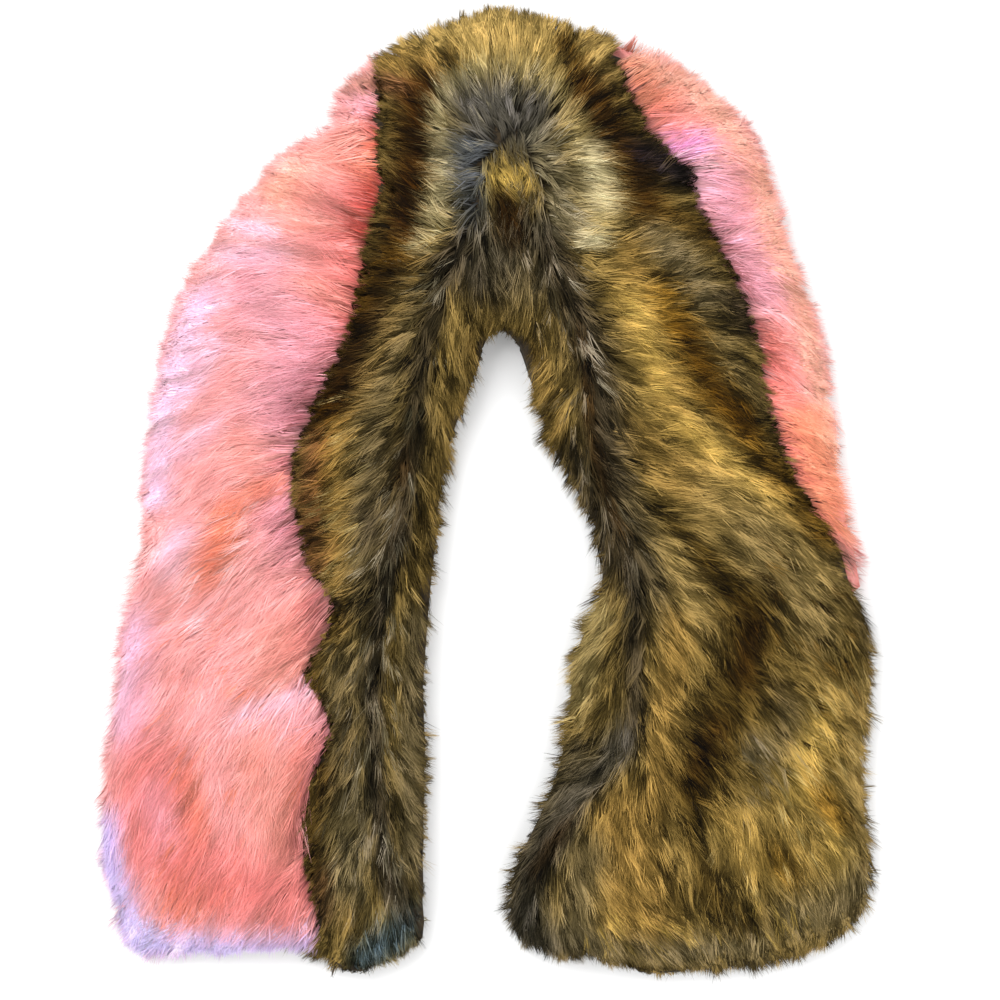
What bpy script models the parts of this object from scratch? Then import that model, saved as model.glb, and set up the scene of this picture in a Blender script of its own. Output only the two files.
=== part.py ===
"""Fur collar wrap: a flattened tube of two deep-pile fur strips, laid flat in an upturned U.

One long strip is brown and one is pink. They are sewn together along both long edges, and the
tube rolls as it bends, so the seam on top wanders from the middle of one leg to the outer edge
of the other. Each strip is one solid, which wraps round its share of the flat tube. Where a
strip folds back under itself, its two layers are one. Where the strips lie on each other, and
at their seams, a narrow gap parts them.

The wrap lies on the XY plane with +Z up, the neck bend towards +Y and both hems towards -Y.
Its origin is at the centre of its plan, on the surface that it lies on.
"""

from collections import namedtuple
from math import pi

import bpy
import numpy as np

MM = 0.001

# The fur and how it lies, in mm
EDGE_HEIGHT = 15.0  # height of the rounded side edge above the surface
OUTER_ROUND = 62.0  # how far in the top rolls down towards the outer edge
UNDER_ROUND = 20.0  # how far in the underside rolls up towards an edge
WALL = 23.0  # fur and backing, between the tube's edge and its inside
STRIP_GAP = 0.4  # between the two strips, at the seams and inside the tube
INSIDE_HEIGHT = 21.0  # where the two layers meet, above the surface
INSIDE_DROP = 6.0  # how much lower they meet at the lower seam than at the upper one
THINNEST_PILE = 9.0  # least fur over the inside, under a fold
HEM_ROUND = 46.0  # how far in the top rolls down towards a hem
HEM_FULLNESS = 0.22  # what is left of the thickness at a hem
BROWN_SHARE = 0.58  # the brown strip's share of the way round the tube
SEAM_VALLEY = 6.0  # depth of the hollow along the seam on top
SEAM_VALLEY_REACH = 15.0

# How finely the tube is divided
STEPS_PER_SECTION = 3
PROFILE_POINTS = 90
BROWN_OVER_COLUMNS = 16  # from the upper seam over the top to the U's inner edge
BROWN_UNDER_COLUMNS = 6  # from there underneath to the lower seam
PINK_COLUMNS = 20
INSIDE_COLUMNS = 5  # along the inside of the tube, between the strips
SHARP_ANGLE = pi / 3

# Sections from the pink leg's hem, round the neck, to the brown leg's hem, in mm. Each is a
# line across the flat tube, from the outer edge of the U to its inner edge. seam is where the
# upper seam crosses it, as a share of its width: below 0, it has rolled under the outer edge.
# crown is the thickness at mid-width, and inner_round the roll-down beside the inner edge.
Section = namedtuple("Section", "outer_x outer_y inner_x inner_y seam crown inner_round")
SECTIONS = (
    Section(-265, -361, -69, -364, 0.66, 46, 44),
    Section(-284, -349, -48, -349, 0.64, 48, 46),
    Section(-302, -303, -47, -303, 0.62, 51, 50),
    Section(-306, -253, -46, -253, 0.62, 52, 52),
    Section(-300, -198, -46, -198, 0.65, 54, 52),
    Section(-292, -147, -46, -151, 0.61, 54, 52),
    Section(-287, -97, -43, -102, 0.62, 53, 52),
    Section(-271, -54, -38, -60, 0.53, 51, 52),
    Section(-272, 1, -33, -11, 0.49, 53, 52),
    Section(-267, 55, -26, 30, 0.47, 55, 52),
    Section(-251, 129, -9, 80, 0.53, 56, 50),
    Section(-222, 190, -1, 101, 0.52, 56, 42),
    Section(-178, 246, 2, 108.5, 0.45, 56, 36),
    Section(-151, 274, 3.5, 113, 0.38, 53, 32),
    Section(-126, 286, 4.3, 115, 0.30, 52, 30),
    Section(-120, 316, 5.5, 117, 0.20, 54, 28),
    Section(-97, 338, 6.1, 117.7, 0.08, 56, 27),
    Section(-68, 353, 6.7, 118.3, -0.01, 57, 27),
    Section(8, 379, 8.2, 119, -0.05, 58, 27),
    Section(86, 362, 9.7, 118.3, -0.01, 58, 27),
    Section(126, 346, 10.4, 117.8, 0.10, 57, 27),
    Section(160, 327, 11.3, 117, 0.20, 55, 28),
    Section(214, 268, 13.3, 114.3, 0.23, 54, 31),
    Section(234, 200, 15.6, 110, 0.20, 55, 35),
    Section(257, 137, 18.7, 102, 0.20, 55, 42),
    Section(268, 79, 26, 80, 0.21, 55, 50),
    Section(277, 20, 43, 32, 0.17, 54, 52),
    Section(295, -54, 79, -38, 0.06, 52, 50),
    Section(303, -108, 78, -85, -0.03, 51, 50),
    Section(304, -136, 59, -128, -0.06, 51, 52),
    Section(299, -194, 54, -183, -0.06, 52, 52),
    Section(296, -237, 41, -233, -0.06, 52, 52),
    Section(302, -284, 17, -284, -0.06, 52, 52),
    Section(301, -315, 9, -317, -0.06, 51, 50),
    Section(277, -349, 16, -352, -0.05, 48, 46),
    Section(232, -367, 59, -369, -0.04, 46, 42),
)

# Folds in the upper layer: a route through plan points in mm, the depth of its middle (a swell
# is negative) and how far it reaches to either side.
Fold = namedtuple("Fold", "name route depth reach")
FOLDS = (
    Fold("pink_leg_dent", ((-214, -20), (-212, -74)), 9, 20),
    Fold("pink_hem_dent", ((-238, -240), (-246, -278), (-254, -312)), 6, 22),
    Fold("shoulder_crease", ((-126, 288), (-108, 254), (-92, 212)), 13, 15),
    Fold("shoulder_swell", ((-160, 215), (-186, 150), (-200, 80)), -3, 40),
    Fold("collar_pucker", ((12, 128), (19, 172), (21, 222)), 15, 13),
    Fold("pucker_left_lip", ((-10, 135), (-6, 180), (4, 232)), -4, 14),
    Fold("pucker_right_lip", ((34, 135), (44, 180), (40, 228)), -4, 14),
    Fold("neck_crest", ((-47, 188), (-20, 254), (12, 289), (55, 266), (82, 215)), -5, 24),
    Fold("neck_valley", ((101, 321), (133, 266), (176, 215)), 7, 17),
    Fold("pink_leg_crest", ((-70, -319), (-72, -163), (-70, -7), (-62, 97), (-39, 149)), -3, 20),
    Fold("brown_leg_crest", ((74, 110), (86, 71), (103, -7), (117, -101), (87, -202)), -4, 22),
    Fold("long_crease", ((92, 4), (133, -54), (195, -116), (216, -168)), 11, 16),
    Fold("crease_bank", ((150, -10), (205, -62), (250, -112)), -3, 24),
    Fold("brown_hem_dent", ((168, -222), (158, -262), (162, -306)), 9, 21),
    Fold("brown_hem_swell", ((236, -190), (232, -262)), -3, 30),
)

# Where a hem bulges past its straight line: its end of the tube, the middle and half width as
# shares of its width, and the reach in mm.
HemBulge = namedtuple("HemBulge", "end middle half_width reach")
HEM_BULGES = (
    HemBulge("pink_leg", 0.84, 0.13, 14),
    HemBulge("brown_leg", 0.52, 0.36, 9),
)

BROWN_FUR = (0.20, 0.145, 0.075, 1.0)
PINK_FUR = (0.90, 0.36, 0.32, 1.0)


def clear_scene():
    for item in list(bpy.data.objects):
        bpy.data.objects.remove(item, do_unlink=True)


def fur_material(name, colour):
    material = bpy.data.materials.new(name)
    material.use_nodes = True
    shader = material.node_tree.nodes["Principled BSDF"]
    shader.inputs["Base Color"].default_value = colour
    shader.inputs["Roughness"].default_value = 0.85
    shader.inputs["Metallic"].default_value = 0.0
    return material


def section_at(place):
    """The section at a place along the table, on Catmull-Rom curves through its rows."""
    last = len(SECTIONS) - 1
    row = min(int(place), last - 1)
    share = place - row
    rows = np.array(SECTIONS, float)[np.clip([row - 1, row, row + 1, row + 2], 0, last)]
    before, start, end, after = rows
    square = 2 * before - 5 * start + 4 * end - after
    cubic = 3 * (start - end) + after - before
    return Section(*(start + 0.5 * share * (end - before + share * (square + share * cubic))))


def ends_of(section):
    outer = np.array((section.outer_x, section.outer_y))
    inner = np.array((section.inner_x, section.inner_y))
    return outer, inner


def rolled(distance, reach):
    """A quarter round: 0 at an edge, rising to 1 at reach from it."""
    inward = np.clip(distance / reach, 0.0, 1.0)
    return np.sqrt(1.0 - (1.0 - inward) ** 2)


def distance_to_route(points, route):
    nearest = np.full(len(points), np.inf)
    for start, end in zip(np.array(route[:-1], float), np.array(route[1:], float)):
        run = end - start
        share = np.clip((points - start) @ run / (run @ run), 0.0, 1.0)
        gap = np.linalg.norm(points - start - share[:, None] * run, axis=1)
        nearest = np.minimum(nearest, gap)
    return nearest


def fold_depth(points):
    depth = np.zeros(len(points))
    for fold in FOLDS:
        spread = distance_to_route(points, fold.route) / fold.reach
        depth += fold.depth * np.exp(-(spread**2))
    return depth


def tube_loop(section, hem_distance):
    """The tube's outline on a section, as distances across it and heights.

    It runs from the outer edge over the top to the inner edge, and back underneath.
    hem_distance is how far away the nearer hem is. Also returns the height of the inside.
    """
    outer, inner = ends_of(section)
    width = np.linalg.norm(inner - outer)
    share = 0.5 - 0.5 * np.cos(np.linspace(0.0, pi, PROFILE_POINTS))
    from_outer = share * width
    from_inner = width - from_outer
    from_edge = np.minimum(from_outer, from_inner)

    full = HEM_FULLNESS + (1.0 - HEM_FULLNESS) * rolled(hem_distance, HEM_ROUND)
    cover = rolled(from_outer, OUTER_ROUND) * rolled(from_inner, section.inner_round)
    plain_top = EDGE_HEIGHT + full * (section.crown - EDGE_HEIGHT) * cover
    sole = EDGE_HEIGHT * (1.0 - np.sqrt(full) * rolled(from_edge, UNDER_ROUND))
    inside = EDGE_HEIGHT + full * (INSIDE_HEIGHT - EDGE_HEIGHT)

    seam_spread = (section.seam * width - from_outer) / SEAM_VALLEY_REACH
    hollow = SEAM_VALLEY * np.exp(-(seam_spread**2))
    hollow += fold_depth(outer + share[:, None] * (inner - outer))
    top = np.maximum(plain_top - hollow * cover * full, inside + THINNEST_PILE * cover * full)
    top = np.where(cover > 0.3, top, plain_top - hollow * cover * full)

    over = np.column_stack((from_outer, top))
    under = np.column_stack((from_outer, sole))
    return np.concatenate((over, under[-2:0:-1])), inside


def seam_place(seam):
    """Where a seam lies on a loop, counted in the loop's points from the outer edge."""
    return np.sign(seam) * (PROFILE_POINTS - 1) * np.arccos(1.0 - 2.0 * abs(seam)) / pi


def laps(loop):
    """Three laps of a closed loop: the places along it, its points and the length at each.

    A place is counted in the loop's points from its first one, and the first lap's are negative.
    """
    points = np.concatenate((loop, loop, loop, loop[:1]))
    steps = np.linalg.norm(np.diff(points, axis=0), axis=1)
    places = np.arange(len(points)) - len(loop)
    return places, points, np.concatenate(([0.0], np.cumsum(steps)))


def place_past(loop, start, share):
    """The place that lies a share of the way round a loop past a place on it."""
    places, _, lengths = laps(loop)
    wanted = np.interp(start, places, lengths) + share * lengths[-1] / 3
    return np.interp(wanted, lengths, places)


def spread_between(loop, start, end, count):
    """Points on a loop between two places, closer together round the tube's edges.

    They are even in a measure that is half length and half places, which crowd at the edges.
    """
    places, points, lengths = laps(loop)
    measure = 3 * lengths / lengths[-1] + places / len(loop)
    wanted = np.linspace(*np.interp((start, end), places, measure), count)
    return np.column_stack([np.interp(wanted, measure, points[:, axis]) for axis in (0, 1)])


def parting_line(upper_seam, lower_seam, width, inside, drop):
    """Where the strips part on a section: from seam to seam by way of the inside.

    It drops a little on its way through the inside, so that it keeps a direction where one
    seam lies right over the other. Returns its points and the step at each to the brown side.
    """
    corners = [
        np.array((np.clip(seam[0], WALL, width - WALL), inside + rise))
        for seam, rise in ((upper_seam, drop / 2), (lower_seam, -drop / 2))
    ]
    shares = np.linspace(0.0, 1.0, INSIDE_COLUMNS)[:, None]
    middle = corners[0] + shares * (corners[1] - corners[0])
    line = np.concatenate(([upper_seam], middle, [lower_seam]))
    runs = np.diff(line, axis=0)
    lefts = np.column_stack((-runs[:, 1], runs[:, 0]))
    lefts /= np.linalg.norm(lefts, axis=1, keepdims=True)
    before, after = lefts[:-1], lefts[1:]
    mitres = (before + after) / (1.0 + (before * after).sum(axis=1, keepdims=True))
    return line, np.concatenate((lefts[:1], mitres, lefts[-1:]))


def strip_rings(section, hem_distance):
    """The brown and pink strips' rings of points on a section: the fur, then the parting line."""
    loop, inside = tube_loop(section, hem_distance)
    width = loop[:, 0].max()
    upper = seam_place(section.seam)
    lower = place_past(loop, upper, BROWN_SHARE)
    inner_edge = PROFILE_POINTS - 1
    over = spread_between(loop, upper, inner_edge, BROWN_OVER_COLUMNS)
    under = spread_between(loop, inner_edge, lower, BROWN_UNDER_COLUMNS + 1)
    brown_fur = np.concatenate((over, under[1:]))
    pink_fur = spread_between(loop, lower, upper + len(loop), PINK_COLUMNS)

    drop = INSIDE_DROP * rolled(hem_distance + STRIP_GAP, HEM_ROUND)
    line, to_brown = parting_line(brown_fur[0], brown_fur[-1], width, inside, drop)
    brown_side = line + to_brown * STRIP_GAP / 2
    pink_side = line - to_brown * STRIP_GAP / 2
    brown = np.concatenate((brown_side[:1], brown_fur[1:-1], brown_side[:0:-1]))
    pink = np.concatenate((pink_side[-1:], pink_fur[1:-1], pink_side[:-1]))
    for ring in (brown, pink):
        ring[:, 1] = np.maximum(ring[:, 1], 0.0)
    return brown, pink


def hem_push(end, shares):
    push = np.zeros_like(shares)
    for bulge in HEM_BULGES:
        if bulge.end == end:
            push += bulge.reach * np.exp(-(((shares - bulge.middle) / bulge.half_width) ** 2))
    return push


def strip_points():
    """Both strips' rings along the whole tube, as points in mm."""
    count = (len(SECTIONS) - 1) * STEPS_PER_SECTION + 1
    sections = [section_at(step / STEPS_PER_SECTION) for step in range(count)]
    middles = np.array([sum(ends_of(section)) / 2 for section in sections])
    steps = np.linalg.norm(np.diff(middles, axis=0), axis=1)
    travelled = np.concatenate(([0.0], np.cumsum(steps)))
    outward = {"pink_leg": middles[0] - middles[1], "brown_leg": middles[-1] - middles[-2]}
    strips = ([], [])
    for section, distance in zip(sections, travelled):
        to_end = travelled[-1] - distance
        end = "pink_leg" if distance < to_end else "brown_leg"
        hem_distance = min(distance, to_end)
        out = outward[end] / np.linalg.norm(outward[end])
        fade = max(0.0, 1.0 - hem_distance / HEM_ROUND) ** 2
        outer, inner = ends_of(section)
        for strip, ring in zip(strips, strip_rings(section, hem_distance)):
            shares = ring[:, :1] / np.linalg.norm(inner - outer)
            plan = outer + shares * (inner - outer) + fade * hem_push(end, shares) * out
            strip.append(np.column_stack((plan, ring[:, 1])))
    return [np.array(strip) for strip in strips]


def strip_faces(points, fur_columns, part_on_upper_side):
    """Faces over a strip's rings and both its ends.

    The fur is cut along the shorter diagonals. The parting faces of both strips are cut along
    the same ones, so that the gap between them stays even.
    """
    rings, around = points.shape[:2]
    flat = points.reshape(-1, 3)
    faces = []
    for ring in range(rings - 1):
        for corner in range(around):
            a = ring * around + corner
            b = ring * around + (corner + 1) % around
            c, d = a + around, b + around
            cross_bc = np.linalg.norm(flat[b] - flat[c]) < np.linalg.norm(flat[a] - flat[d])
            if corner >= fur_columns - 1:
                cross_bc = part_on_upper_side
            faces += [(a, b, c), (b, d, c)] if cross_bc else [(a, b, d), (a, d, c)]
    first_end = tuple(range(around - 1, -1, -1))
    last_end = tuple(range((rings - 1) * around, rings * around))
    return faces + [first_end, last_end]


def make_strip(name, points, faces, material, collection):
    mesh = bpy.data.meshes.new(name)
    mesh.from_pydata((points.reshape(-1, 3) * MM).tolist(), [], faces)
    mesh.materials.append(material)
    mesh.shade_smooth()
    mesh.set_sharp_from_angle(angle=SHARP_ANGLE)
    strip = bpy.data.objects.new(name, mesh)
    collection.objects.link(strip)
    return strip


def centred(strips):
    """The strips' points, moved so that the centre of their plan is the origin."""
    plan = np.concatenate([points.reshape(-1, 3)[:, :2] for points in strips])
    centre = np.append((plan.min(axis=0) + plan.max(axis=0)) / 2, 0.0)
    return [points - centre for points in strips]


def build_wrap():
    clear_scene()
    collection = bpy.data.collections.new("fur_collar_wrap")
    bpy.context.scene.collection.children.link(collection)
    brown, pink = centred(strip_points())
    brown_faces = strip_faces(brown, BROWN_OVER_COLUMNS + BROWN_UNDER_COLUMNS, True)
    pink_faces = strip_faces(pink, PINK_COLUMNS, False)
    brown_fur = fur_material("brown_fur", BROWN_FUR)
    pink_fur = fur_material("pink_fur", PINK_FUR)
    make_strip("brown_fur_strip", brown, brown_faces, brown_fur, collection)
    make_strip("pink_fur_strip", pink, pink_faces, pink_fur, collection)


build_wrap()
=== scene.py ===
"""The looks of a fur collar wrap that lies flat in an upturned U.

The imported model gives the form: two strips, whose solids reach as far as their fur does. Here each
strip is a backing cloth, set in below that form by the depth of its pile, and tufts of hair that
grow from it. A plan grid over the model holds what the hair needs to know at each place: the
height of the fur, the way out to its edge, the way that it is combed, and its colour. The hair
parts along one line from hem to hem, and its colours are broad strokes along named routes.

Places and sizes are in mm, on the model's own plan: +Y towards the neck bend, pink leg at -X.
"""

from collections import namedtuple
from math import pi, radians

import bpy
import numpy as np
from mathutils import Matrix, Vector
from mathutils.bvhtree import BVHTree
from mathutils.kdtree import KDTree


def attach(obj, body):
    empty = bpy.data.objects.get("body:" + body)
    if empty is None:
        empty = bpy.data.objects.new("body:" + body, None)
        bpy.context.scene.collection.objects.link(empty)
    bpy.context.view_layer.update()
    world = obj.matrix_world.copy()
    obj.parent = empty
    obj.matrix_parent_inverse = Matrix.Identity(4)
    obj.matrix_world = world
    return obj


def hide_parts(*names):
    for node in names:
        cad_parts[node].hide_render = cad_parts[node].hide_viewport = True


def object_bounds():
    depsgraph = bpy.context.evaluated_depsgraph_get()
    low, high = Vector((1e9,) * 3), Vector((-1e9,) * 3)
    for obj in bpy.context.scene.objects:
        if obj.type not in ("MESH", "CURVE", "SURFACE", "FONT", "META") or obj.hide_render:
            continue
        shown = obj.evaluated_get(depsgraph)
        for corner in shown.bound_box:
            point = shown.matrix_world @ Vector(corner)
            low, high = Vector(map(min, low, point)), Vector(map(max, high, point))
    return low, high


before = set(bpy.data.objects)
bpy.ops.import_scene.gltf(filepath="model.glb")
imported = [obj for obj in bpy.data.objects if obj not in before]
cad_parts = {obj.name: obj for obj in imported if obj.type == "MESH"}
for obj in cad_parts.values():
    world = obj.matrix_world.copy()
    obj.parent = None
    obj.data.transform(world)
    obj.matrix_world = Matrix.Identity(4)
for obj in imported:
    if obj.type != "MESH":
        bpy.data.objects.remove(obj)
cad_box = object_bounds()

MM = 0.001
SEED = 11

# The plan grid
CELL = 2.0
MARGIN = 46.0  # how far the grid goes past the model
SKY = 200.0  # above the highest fur

# The backings. A pair of distances says where something begins, and where it is whole.
PARTING_GAP = 0.9  # faces nearer than this to the other strip are hidden between the strips
PILE_DEPTHS = ((-1.0, 2.6), (-0.3, 9.0), (0.3, 14.0), (1.0, 13.0))  # by how far up a face looks
PILE_SHARE = 0.4  # at most this share of the thickness, where the wrap is thin
SEAM_GAPS = (1.0, 10.0)  # a cloth goes straight down as near as this to the other strip,
SEAM_INSIDE = (8.0, 18.0)  # and as far as this inside the wrap's edge
UNDER_PAST = (1.0, 9.0)  # a cloth lies under the other strip's edge this far past its own border,
UNDER_RIM = (-30.0, -8.0)  # and as near as this to the wrap's edge
UNDER_TUCK = 18.0  # how far it is drawn in there
UNDER_DROP = 0.7  # how much lower it lies there, as a share
CLOTH_LOWEST = 1.2
BROWN_CUT = (0.27, 1.45)  # the flat cut of each strip, in metres
PINK_CUT = (0.20, 1.45)

# The hair
TUFTS = 27000
HAIRS_A_TUFT = 11
TUFT_RADIUS = 3.6
ON_TOP_UPS = (0.0, 0.35)  # how far up the cloth looks where its hair lies on top
BELOW_UPS = (0.3, 0.7)  # and how far down where it lies underneath
BROWN_LENGTH = 33.0
PINK_LENGTH = 46.0
TUFT_LENGTHS = 0.16  # spreads, as shares
HAIR_LENGTHS = 0.07
HAIR_WIDTH = 0.76
WIDTHS = 0.2
STEPS = np.array((0.0, 0.45, 1.0))  # places along a hair, root to tip
RUN = np.array((0.0, 0.4, 1.0))  # how far along its reach a hair is at each
RISE = np.array((0.0, 0.72, 1.0))  # how far from its root's height to the fur's
TAPER = np.array((1.0, 0.9))  # its width before the tip
CLUMPING = 0.85  # how much a tuft's tips draw together
TUFT_TURNS = radians(5)  # spreads of the ways that tufts and hairs go
HAIR_TURNS = radians(3)
TUFT_CURLS = radians(7)  # and of how much they turn on the way
HAIR_CURLS = radians(4)
HAIR_ROLLS = radians(32)
RIM_REACH = 0.72  # how far a hair reaches in plan at the rim, as a share of its length
TOP_REACH = 0.2  # how much further on top
SHORTEST = 5.0
RIM_COMB = 0.5  # at the rim the hair goes so much the way that it is combed
RIM_OUT = 0.9  # and so much outwards
RIM_TIPS = (2.0, 12.0)  # how high its tips are there
EDGE_HEIGHT = 13.0  # height of the fur's outer edge above the surface
EDGE_DROOP = 0.55  # how much lower it hangs for each mm past the edge
LOWEST = 0.5
LOWEST_MIX = 0.8  # how unevenly the hairs lie on the surface
UNDER_SHARE = 0.12  # how dense the tufts are underneath, where the wrap rests,
UNDER_UPS = (-0.6, -0.1)  # which is where the cloth looks down, from wholly to hardly
EDGE_FUZZ = 3.8
EDGE_INSIDE = 0.8  # most tufts end inside the edge, by up to this share of the fuzz
SAG = -0.8  # tufts lie lower than the fur's height, by this share of their looseness
HAIR_LOOSE = 0.4  # how loose a tuft's hairs are in it, as a share of that
HIDDEN_EDGE = 20.0  # how far short of the wrap's edge the pink fur under the brown ends
SEAM_SETBACK = 6.0  # how far short of its border with the pink the brown fur ends
SEAM_PAINTED_SHADE = 0.22  # painted shade: how much darker the brown hair is made there
SEAM_BAND = (-16.0, 3.0)  # where that begins and is whole, past the fur's end
SEAM_TUCK = 10.0  # how far the pink hair starts under the brown
BROWN_TUCK_REACH = 24.0  # how far from the border roots are moved
PINK_TUCK_REACH = 16.0
EDGE_FREE = (3.0, 14.0)  # as near as this to the wrap's edge, none of that is done, and then all
STREAK_FUZZ = 2.6  # how much further a lighter streak of hair reaches
COMB_BLUR = 8  # how often the combed directions are smoothed,
HEIGHT_BLUR = 2  # the fur's height,
OUT_BLUR = 6  # and the way out
PARTING_BLUR = 4.0  # how far hairs cross the parting
PARTING_BAND = (2.0, 12.0)  # as near as this to the parting, the hair points straight across it
NEAR_LEAN = 1.3  # the hair leans more, by this share, at the parting itself
NEAR_LEAN_REACH = 17.0
SHADE_TINT = (1.0, 1.0, 1.15)  # a lighter hair is paler, and a darker one richer
MOST_SHADE = 0.52  # how much lighter than its colour a hair may be
EVEN_LEVEL = 86.0  # a colour lighter than this varies less, and a darker one more,
LEAST_VARIED = 0.4  # by these shares at most
MOST_VARIED = 1.3
AHEAD = 7.0  # a hair takes its colour from so far along it, because its tip is thin
AHEAD_SPREAD = 3.0
COLOUR_SPREAD = 1.5  # and from so far around
LOCK_COVER = 0.75  # at most so much of a hair's colour is its lock's
STREAK = 26.0  # how long the hair's lighter and darker streaks are, to either side
STREAK_FADE = 1.6  # how soon they fade

# Where the hair parts, from the pink leg's hem to the brown leg's: x and y, and how far the hair
# runs along the line for each mm away from it, on its outer side and on its inner one
PARTING = (
    (-90, -385, -2.4, -2.6), (-86, -319, -2, -2.2), (-81, -272, -1.9, -2), (-83, -225, -1.8, -1.9),
    (-86, -163, -1.5, -1.8), (-80, -101, -1.1, -1.7), (-70, -38, -0.8, -1.7), (-63, 9, -0.55, -1.6),
    (-58, 55, -0.4, -1.5), (-51, 102, -0.3, -1.4), (-44, 135, -0.22, -1.3), (-34, 162, -0.15, -1.1),
    (-23, 188, -0.08, -0.9), (-10, 215, -0.03, -0.8), (-4, 235, 0, -0.7), (-1, 252, 0, -0.5),
    (5, 266, 0, -0.2), (16, 273, 0, 0), (26, 270, 0, 0.2), (34, 260, 0, 0.4), (38, 244, 0.03, 0.6),
    (40, 225, 0.06, 0.8), (43, 205, 0.1, 0.9), (48, 186, 0.14, 1), (54, 166, 0.2, 1),
    (67, 137, 0.3, 1.1), (73, 108, 0.38, 1.1), (72, 77, 0.45, 1.2), (73, 46, 0.55, 1.2),
    (81, 15, 0.75, 1.3), (94, -19, 1, 1.2), (109, -46, 1.05, 1), (119, -77, 1.1, 1.1),
    (115, -116, 1.05, 1.3), (115, -163, 1, 1.6), (109, -198, 0.8, 2.2), (86, -227, 0.6, 2.6),
    (64, -253, 0.6, 2.4), (48, -280, 0.65, 2), (33, -311, 0.8, 1.8), (19, -346, 0.95, 1.6),
)

# Places where the hair is combed another way: a direction in plan, in degrees from +X
Comb = namedtuple("Comb", "name x y reach degrees strength")
COMBS = (
    Comb("pink_fringe", -215, -358, 26, -100, 0.7),
    Comb("pink_corner", -296, -300, 30, -160, 0.6),
    Comb("tuft", 18, 242, 13, -92, 0.8),
    Comb("pocket", 20, 214, 16, -92, 0.8),
    Comb("crotch", 15, 165, 22, -95, 0.7),
    Comb("brown_foot", -95, -350, 24, -88, 0.6),
)

# Round places where something differs, most of all in the middle
Spot = namedtuple("Spot", "name x y reach change")

# The hair stands up, and looks shorter from above by this share
WHORL = Spot("whorl", 19, 266, 26, 0.55)

# The tufts differ less in shade, by this share
CALM = Spot("neck_grey", 8, 268, 52, 0.65)

# A strip's fur reaches further than its solid does, or less far, by so many mm
BROWN_EDGES = (
    Spot("top_left_seam", -76, 338, 22, 14),
    Spot("lobe_seam", -88, 289, 30, -6),
    Spot("left_upper_seam", -96, 188, 40, 4),
    Spot("left_mid_seam", -140, 70, 35, -4),
    Spot("left_bulge", -123, -88, 27, -15),
    Spot("left_jut", -143, -140, 14, 10),
    Spot("left_low_seam", -131, -190, 34, -14),
    Spot("right_top_seam", 112, 320, 35, -9),
    Spot("right_ink_jut", 162, 250, 12, 14),
    Spot("right_upper_seam", 181, 203, 60, -7),
    Spot("right_low_seam", 257, -11, 30, -6),
    Spot("right_tail_seam", 282, -77, 25, -9),
    Spot("neck_top", 0, 378, 45, 4),
    Spot("neck_top_right", 118, 350, 30, 5),
    Spot("foot_side", 302, -300, 50, 6),
    Spot("foot_hem", 215, -376, 35, 7),
    Spot("foot_hem_end", 75, -376, 32, -5),
    Spot("crotch", 13, 96, 26, -20),
    Spot("gap_left_top", -28, 40, 40, -3),
    Spot("gap_left", -42, -110, 90, -3),
    Spot("gap_left_foot", -44, -290, 60, -5),
    Spot("gap_right_top", 76, -50, 50, -2),
    Spot("gap_right", 52, -150, 50, -2),
    Spot("gap_right_low", 30, -250, 36, -5),
)
PINK_EDGES = (
    Spot("lobe", -122, 305, 22, 5),
    Spot("side_top", -240, 140, 90, 2),
    Spot("side", -275, -20, 90, 2.5),
    Spot("side_low", -305, -190, 90, 3),
    Spot("side_dip", -300, -235, 12, -5),
    Spot("spike", -312, -258, 11, 11),
    Spot("side_dip_low", -304, -273, 12, -5),
    Spot("corner", -281, -360, 16, 17),
    Spot("hem", -140, -372, 30, -5),
    Spot("shoulder", 132, 352, 34, 9),
    Spot("top_right", 205, 285, 40, 3),
    Spot("right_side", 278, 8, 30, -4),
)

# The colours, of 0 to 255: the brown fur's, and then the pink fur's
KHAKI = (92, 80, 52)
OLIVE = (99, 82, 42)
TAN = (154, 130, 76)
SAND = (176, 156, 100)
GOLD = (202, 168, 84)
WHEAT = (192, 161, 92)
HONEY = (178, 145, 74)
CARAMEL = (142, 112, 56)
FAWN = (114, 103, 76)
MOSS = (74, 64, 40)
AMBER = (142, 100, 28)
BRONZE = (90, 66, 22)
UMBER = (58, 38, 8)
PEAT = (55, 43, 17)
PITCH = (35, 21, 5)
COAL = (48, 42, 30)
GRAPHITE = (56, 53, 44)
SLATE = (88, 84, 76)
LEAD = (84, 88, 92)
SMOKE = (120, 109, 80)
STRAW = (212, 198, 148)
ASH = (116, 106, 84)
SILVER = (158, 148, 122)
CREAM = (226, 212, 168)
TEAL = (52, 68, 74)
# INK is only used as painted shadow, beside the right seam
INK = (28, 24, 32)
RUST = (140, 92, 62)
CORAL = (244, 167, 164)
POPPY = (234, 131, 125)
SALMON = (248, 162, 145)
PEACH = (249, 182, 151)
ORANGE = (244, 129, 93)
APRICOT = (242, 150, 112)
ROSE = (242, 173, 193)
BLUSH = (246, 196, 214)
LILAC = (244, 204, 234)
# MAUVE is only used as painted shade, beside the seam
MAUVE = (220, 144, 160)
VIOLET = (240, 158, 214)
# BRICK is only used as painted shade, beside the seam
BRICK = (180, 54, 38)
TILE = (196, 108, 72)
MELON = (230, 112, 96)
# CLAY is only used as painted shade, in the hollows of the pink leg
CLAY = (216, 112, 81)
ICE = (214, 200, 252)
HAZE = (212, 204, 238)
PALE = (255, 222, 228)
# PLUM is only used as painted shade, along the seams
PLUM = (128, 62, 62)

# Colours laid over a strip's own colour, one after another, along routes in plan. Each row has a
# name, the colour, how far it spreads to either side, how many percent of the colour under it it
# covers, and then the x,y of each place that it runs through.
Stroke = namedtuple("Stroke", "name colour reach percent route")


def strokes(*rows):
    return [Stroke(*row[:4], np.array(row[4:], float).reshape(-1, 2)) for row in rows]


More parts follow.
